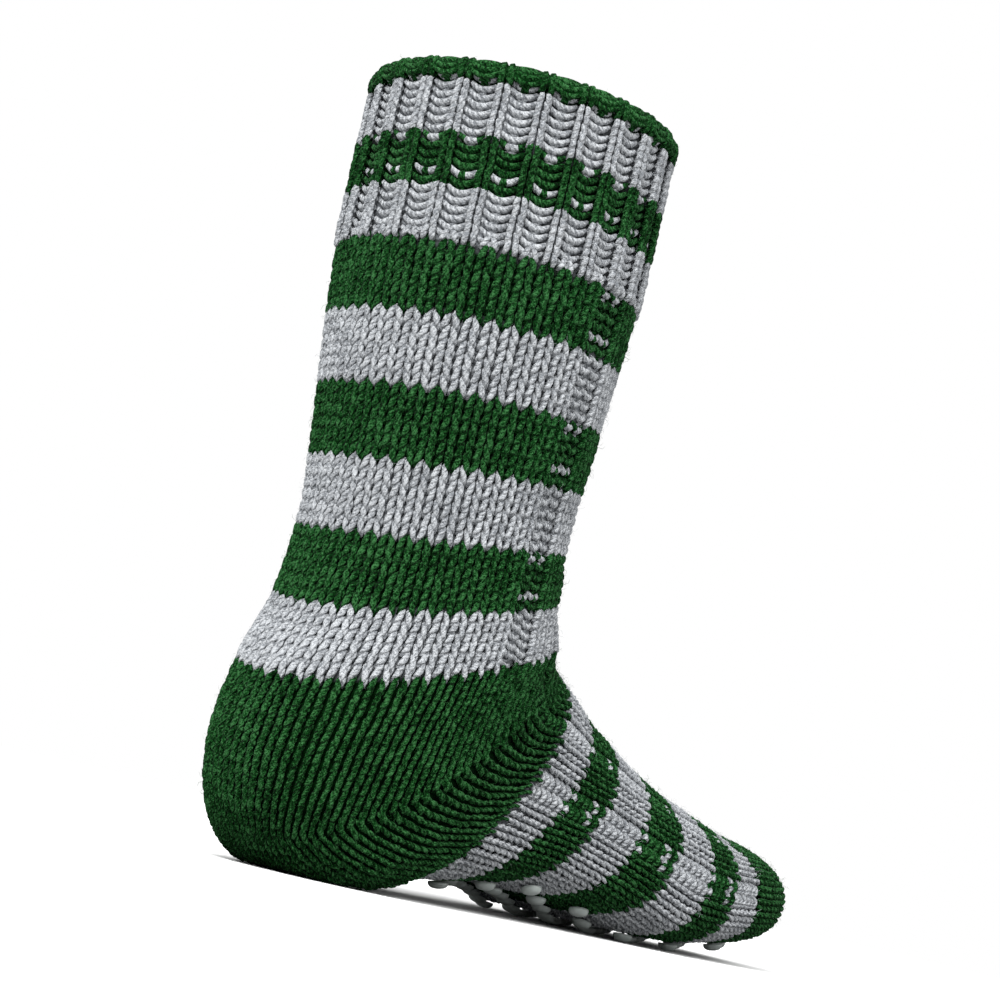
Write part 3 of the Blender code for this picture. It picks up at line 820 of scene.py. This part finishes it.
def liningWall(side, at, columns):  # rings just under the stitches, outside, or on the sock's inside
    wall = []
    for station in at:
        spread = np.full(len(columns), station)
        outward = fabricFrame(columns, spread)[0]
        depth = np.full(len(columns), lining["depth"][side])
        if form["hemHeight"] < station < cuffEnd:
            onRib = np.cos(np.pi * columns) > 0
            depth = depth + np.where(onRib, lining["underRib"], lining["betweenRibs"][side])
        if side == "outer":
            toe = (capStart + lining["toeReach"], tipAt)
            depth = depth + np.interp(station, toe, (0.0, lining["toeLift"]))
        point = fabricPoint(columns, spread) + outward * depth[:, None]
        floor = lining["footFloor"] if station > heelEnd else lining["heelFloor"]
        point[:, 2] = np.maximum(point[:, 2], floor + lining["wall"][side])
        wall.append(point)
    return np.concatenate(wall)


def bareFabric():  # the ground under the stitches, and the purl side that lines the sock
    at = np.arange(lining["start"], tipAt - lining["tipGap"], lining["ringStep"])
    columns = np.arange(lining["around"]) * form["wales"] / lining["around"]
    around, count = len(columns), len(at)
    turns = np.linspace(-hem["coreOver"], math.pi + hem["coreOver"], hem["coreRings"])
    core = [hemPoint(columns, np.full(around, turn), hem["coreIn"]) for turn in turns]
    points = np.concatenate([liningWall("outer", at, columns), liningWall("inner", at, columns)] + core)
    faces, places = [], []

    def quad(a, b, c, d, uv):
        faces.append((a, b, c, d))
        places.extend(uv)

    for i in range(count - 1):
        for j in range(around):
            k = (j + 1) % around
            left, right = columns[j], columns[j] + form["wales"] / around
            high, low = at[i] * 1000, at[i + 1] * 1000
            one, two = i * around, (i + 1) * around
            quad(one + j, two + j, two + k, one + k, ((left, high), (left, low), (right, low), (right, high)))
            one, two = one + count * around, two + count * around
            quad(one + k, two + k, two + j, one + j, ((right, high), (right, low), (left, low), (left, high)))
    overEdge = [0] + [(2 * count + i) * around for i in range(hem["coreRings"])] + [count * around]
    for one, two in zip(overEdge, overEdge[1:]):  # the roll under the hem's stitches
        for j in range(around):
            k = (j + 1) % around
            quad(one + k, two + k, two + j, one + j, ((0, 0),) * 4)
    outerEnd = [(count - 1) * around + j for j in range(around)]
    innerEnd = [(2 * count - 1) * around + j for j in range(around)]
    mesh = bpy.data.meshes.new("bareFabric")
    mesh.from_pydata([tuple(p) for p in points], [], faces + [outerEnd[::-1], innerEnd])
    places.extend([(0, 0)] * (2 * around))
    uv = mesh.uv_layers.new(name="fabricMap")
    uv.data.foreach_set("uv", np.array(places, np.float32).ravel())
    tints = np.repeat(stripeAt(at), around)
    rolled = np.ones(hem["coreRings"] * around)
    addLayer(mesh, "stripe", np.concatenate([tints, tints, rolled * green]))
    # 0 paints shade on the ground under the stitches, 1 leaves the lining inside the sock unshaded, and the
    # roll under the hem takes a part of the painted shade
    addLayer(mesh, "inside", np.concatenate([0 * tints, 0 * tints + 1, rolled * hem["coreLitShare"]]))
    mesh.shade_smooth()
    mesh.update()
    return addObject("fabricLining", mesh)


def liningFinish():  # purl bumps in rows, with painted shade in the gaps between them and on the ground under the stitches
    b = Bench("fabricGround")
    wale, down = b.mapped("fabricMap")
    fuzz = b.noise(b.where(), *lining["fuzz"])
    bow = (wale * (2 * math.pi)).wave() * lining["archHeight"]
    rowWave = (down * (2 * math.pi / lining["courseMm"]) + bow).wave()
    # Painted shade: lighter on each row of purl bumps, darker in the gaps between the rows
    light = (rowWave * lining["rowGapShade"] + (fuzz - 0.5) * lining["fuzzLight"] + lining["baseLight"]).held()
    # Painted shade: the ground under the stitches keeps only a small part of its lightness
    light = light * (b.number("inside") * lining["insideLight"] + lining["shadedGroundLevel"])
    greenSide = b.ramp(yarn["green"], light * lining["greenLight"])
    greySide = b.ramp(yarn["grey"], light * lining["greyLight"])
    height = rowWave * lining["rowRise"] + fuzz * lining["fuzzRise"]
    return b.finish({
        "Base Color": b.blend(b.number("stripe"), greenSide, greySide), "Roughness": lining["roughness"],
        "Sheen Weight": lining["sheen"], "Specular IOR Level": lining["gloss"],
        "Normal": b.bump(lining["bumpStrength"], lining["bumpDepth"], height),
    })


fabric = bareFabric()
fabric.data.materials.append(liningFinish())
knitted.append(fabric)
print("fabric lining:", len(fabric.data.polygons), "faces")

for piece in knitted:
    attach(piece, body)
    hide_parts(sockNode)

dots = {
    "spokes": 20, "edgeShare": 95,
    "profile": ((1.0, 0.03), (1.0, 0.28), (0.94, 0.52), (0.80, 0.76), (0.56, 0.92), (0.27, 0.99)),
    "cloud": (420.0, 2.0), "grain": (2600.0, 2.0), "dark": (0.30, 0.345, 0.325), "pale": (0.50, 0.54, 0.52),
    "roughness": 0.34, "roughnessSpread": 0.2, "coat": 0.25, "coatRoughness": 0.3, "subsurface": 0.15,
    "subsurfaceReach": (0.002, 0.002, 0.002), "grainRise": 0.5, "bumpStrength": 0.25, "bumpDepth": 0.0002,
}


def gripFinish():
    b = Bench("gripRubber")
    where = b.where()
    cloud = b.noise(where, *dots["cloud"])
    grain = b.noise(where, *dots["grain"])
    return b.finish({
        "Base Color": b.blend(cloud, dots["dark"], dots["pale"]),
        "Roughness": (grain * dots["roughnessSpread"] + dots["roughness"]).held(),
        "Coat Weight": dots["coat"], "Coat Roughness": dots["coatRoughness"],
        "Subsurface Weight": dots["subsurface"], "Subsurface Radius": dots["subsurfaceReach"],
        "Normal": b.bump(dots["bumpStrength"], dots["bumpDepth"], grain * dots["grainRise"] + cloud),
    })


def domeRings(node):  # rings of a smooth dome over one dot of the part, from its foot up
    places = np.array([tuple(v.co) for v in node.data.vertices])
    middle = (places.min(0) + places.max(0)) / 2
    axis = np.linalg.svd(places - places.mean(0))[2][2]  # the thin way of the dot, turned down
    axis = axis if axis[2] < 0 else -axis
    side = unit(np.cross(axis, (0, 1.0, 0)))
    other = np.cross(axis, side)
    heights = (places - middle) @ axis
    base, thick = heights.min(), np.ptp(heights)
    sideways = np.linalg.norm((places - middle) - np.outer(heights, axis), axis=1)
    radius = np.percentile(sideways, dots["edgeShare"])
    spots = []
    for share, rise in dots["profile"]:
        for k in range(dots["spokes"]):
            angle = 2 * math.pi * k / dots["spokes"]
            spot = middle + (side * math.cos(angle) + other * math.sin(angle)) * radius * share
            spot = spot + axis * (base + thick * rise)
            spot[2] = max(spot[2], 0.0)
            spots.append(tuple(spot))
    return spots


def gripDots():  # a soft dome poured on the knit for each dot of the part
    names = sorted(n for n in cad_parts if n.startswith("grip_dot"))
    points, faces = [], []
    spokes, top = dots["spokes"], len(dots["profile"]) - 1
    for name in names:
        first = len(points)
        points += domeRings(bpy.data.objects[name])
        for level in range(top):
            for k in range(spokes):
                one, two = first + level * spokes + k, first + level * spokes + (k + 1) % spokes
                faces.append((one, two, two + spokes, one + spokes))
        faces.append(tuple(first + k for k in reversed(range(spokes))))
        faces.append(tuple(first + top * spokes + k for k in range(spokes)))
    mesh = bpy.data.meshes.new("gripDots")
    mesh.from_pydata(points, [], faces)
    shape = bmesh.new()
    shape.from_mesh(mesh)
    meshOf(shape, mesh)
    mesh.shade_smooth()
    mesh.materials.append(gripFinish())
    return addObject("gripDots", mesh), names


gripPiece, dotNames = gripDots()
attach(gripPiece, body)
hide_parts(*dotNames)
print("grip dots:", len(dotNames))

fluff = {
    "count": 12000, "seed": 5, "lean": 0.5, "unevenness": 0.2, "length": 0.0020, "thick": 0.000035,
    "joints": (0.0, 0.5, 1.0), "corners": (0.0, 2.1, 4.2), "taper": 0.7,
    "bend": 0.0008, "drawBack": 0.25, "rise": 0.62, "riseTurn": 2.1,
    "start": 0.001, "tipGap": 0.012, "facingDown": -0.6, "nearFloor": 0.008,
    "level": -0.0008, "betweenRibs": -0.0018, "leastSize": 0.55, "sizeSpread": 0.75, "leastTone": 0.5,
}


def makeHair():
    shape = bmesh.new()
    yarnMap = shape.loops.layers.uv.new("yarnMap")
    shape.verts.layers.float.new("part")
    length, corners = fluff["length"], fluff["corners"]
    loops = []
    for t in fluff["joints"]:
        rise = length * fluff["rise"] * math.sin(t * fluff["riseTurn"])
        centre = Vector((fluff["bend"] * t * t, length * t * (1 - fluff["drawBack"] * t), rise))
        thick = fluff["thick"] * (1.0 - fluff["taper"] * t)
        spokes = [Vector((math.cos(a), 0, math.sin(a))) for a in corners]
        loops.append([shape.verts.new(centre + spoke * thick) for spoke in spokes])
    for one, two in zip(loops, loops[1:]):
        for k in range(len(corners)):
            n = (k + 1) % len(corners)
            face = shape.faces.new((one[k], one[n], two[n], two[k]))
            for loop in face.loops:
                loop[yarnMap].uv = (k / len(corners), 0.0)
    shape.faces.new(list(reversed(loops[0])))
    shape.faces.new(loops[-1])
    mesh = bpy.data.meshes.new("pattern-hair")
    meshOf(shape, mesh)
    return addObject("pattern-hair", mesh)


def fluffSeeds():  # stray fibres all over the knitting, none under the sole
    low, high = fluff["start"], tipAt - fluff["tipGap"]
    column = chanceOf.random(fluff["count"]) * form["wales"]
    station = low + (high - low) * chanceOf.random(fluff["count"])
    outward, onward = fabricFrame(column, station)[:2]
    point = fabricPoint(column, station)
    keep = ~((outward[:, 2] < fluff["facingDown"]) & (point[:, 2] < fluff["nearFloor"]))
    column, station, outward, onward, point = [v[keep] for v in (column, station, outward, onward, point)]
    across = np.cross(outward, onward)
    spin = chanceOf.random(len(column)) * 2 * np.pi
    onward = onward * np.cos(spin)[:, None] + across * np.sin(spin)[:, None]
    size = fluff["leastSize"] + fluff["sizeSpread"] * chanceOf.random(len(column))
    inCuff = (station < cuffEnd) & (station > form["hemHeight"])
    sunk = np.where(inCuff & (np.round(column).astype(int) % 2 == 1), fluff["betweenRibs"], 0.0)
    colour = stripeAt(station)
    tone = fluff["leastTone"] + (1 - fluff["leastTone"]) * chanceOf.random(len(column))
    return {"point": point + outward * (fluff["level"] + sunk)[:, None], "outward": outward, "onward": onward,
            "size": np.repeat(size[:, None], 3, 1), "stripe": colour, "nextStripe": colour, "tone": tone}


hair = makeHair()
fluffMesh = plant("fluff", fluffSeeds(), hair, yarnMaterial, fluff["seed"],
                  fluff["lean"], fluff["unevenness"])
fluffPiece = joinMeshes("strayFibres", [fluffMesh])
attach(fluffPiece, body)
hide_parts(sockNode)
for pattern in list(templates.values()) + [hair]:
    bpy.data.objects.remove(pattern, do_unlink=True)
print("stray fibres:", len(fluffPiece.data.polygons), "faces")

view = {
    "azimuth": 38.0, "distance": 0.72, "height": 0.018, "roll": 13.0, "lens": 90.0,
    "target": (-0.008, -0.030, 0.1165), "clipStart": 0.01,
}


def setCamera():
    camera = addObject("camera", bpy.data.cameras.new("camera"))
    target = Vector(view["target"])
    turn = math.radians(view["azimuth"])
    place = target + Vector((math.sin(turn), -math.cos(turn), 0)) * view["distance"]
    place.z = view["height"]
    look = (target - place).to_track_quat("-Z", "Y").to_matrix().to_4x4()
    roll = Matrix.Rotation(math.radians(view["roll"]), 4, "Z")
    camera.matrix_world = Matrix.Translation(place) @ look @ roll
    camera.data.lens = view["lens"]
    camera.data.clip_start = view["clipStart"]
    bpy.context.scene.camera = camera


studio = {
    "sky": (1.0, 1.0, 1.0, 1.0), "skyStrength": 1.0, "floorSize": 6.0, "floorColour": (0.995, 0.995, 0.995),
    "floorBounce": (0.34, 0.34, 0.34),  # less light comes back from below, as in the photo
    "aim": (0, 0, 0.1),
    "lights": [  # name, place, width, watts
        ("key", (0.5, -1.3, 1.4), 0.8, 42.0),
        ("left", (-1.4, -0.6, 1.3), 0.9, 14.0),
        ("right", (1.5, -0.1, 1.4), 0.9, 14.0),
    ],
}


def setStudio():
    world = bpy.data.worlds.new("softWhite")
    bpy.context.scene.world = world
    world.use_nodes = True
    sky = world.node_tree.nodes["Background"]
    sky.inputs["Color"].default_value = studio["sky"]
    sky.inputs["Strength"].default_value = studio["skyStrength"]
    half = studio["floorSize"] / 2
    corners = [(-half, -half, 0), (half, -half, 0), (half, half, 0), (-half, half, 0)]
    mesh = bpy.data.meshes.new("studioFloor")
    mesh.from_pydata(corners, [], [(0, 1, 2, 3)])
    floor = addObject("studioFloor", mesh)
    paint = Bench("studioPaint")
    seen = paint.node("ShaderNodeLightPath")
    shade = paint.blend(seen, studio["floorBounce"], studio["floorColour"])
    matt = paint.finish({"Base Color": shade, "Roughness": 1.0, "Specular IOR Level": 0.0})
    floor.data.materials.append(matt)
    for name, place, width, watts in studio["lights"]:
        lamp = bpy.data.lights.new(name, "AREA")
        lamp.size, lamp.energy = width, watts
        holder = addObject(name, lamp)
        holder.location = place
        holder.rotation_euler = (Vector(studio["aim"]) - Vector(place)).to_track_quat("-Z", "Y").to_euler()
    bpy.context.scene.view_settings.view_transform = "Standard"


setCamera()
setStudio()
print("camera and studio set")
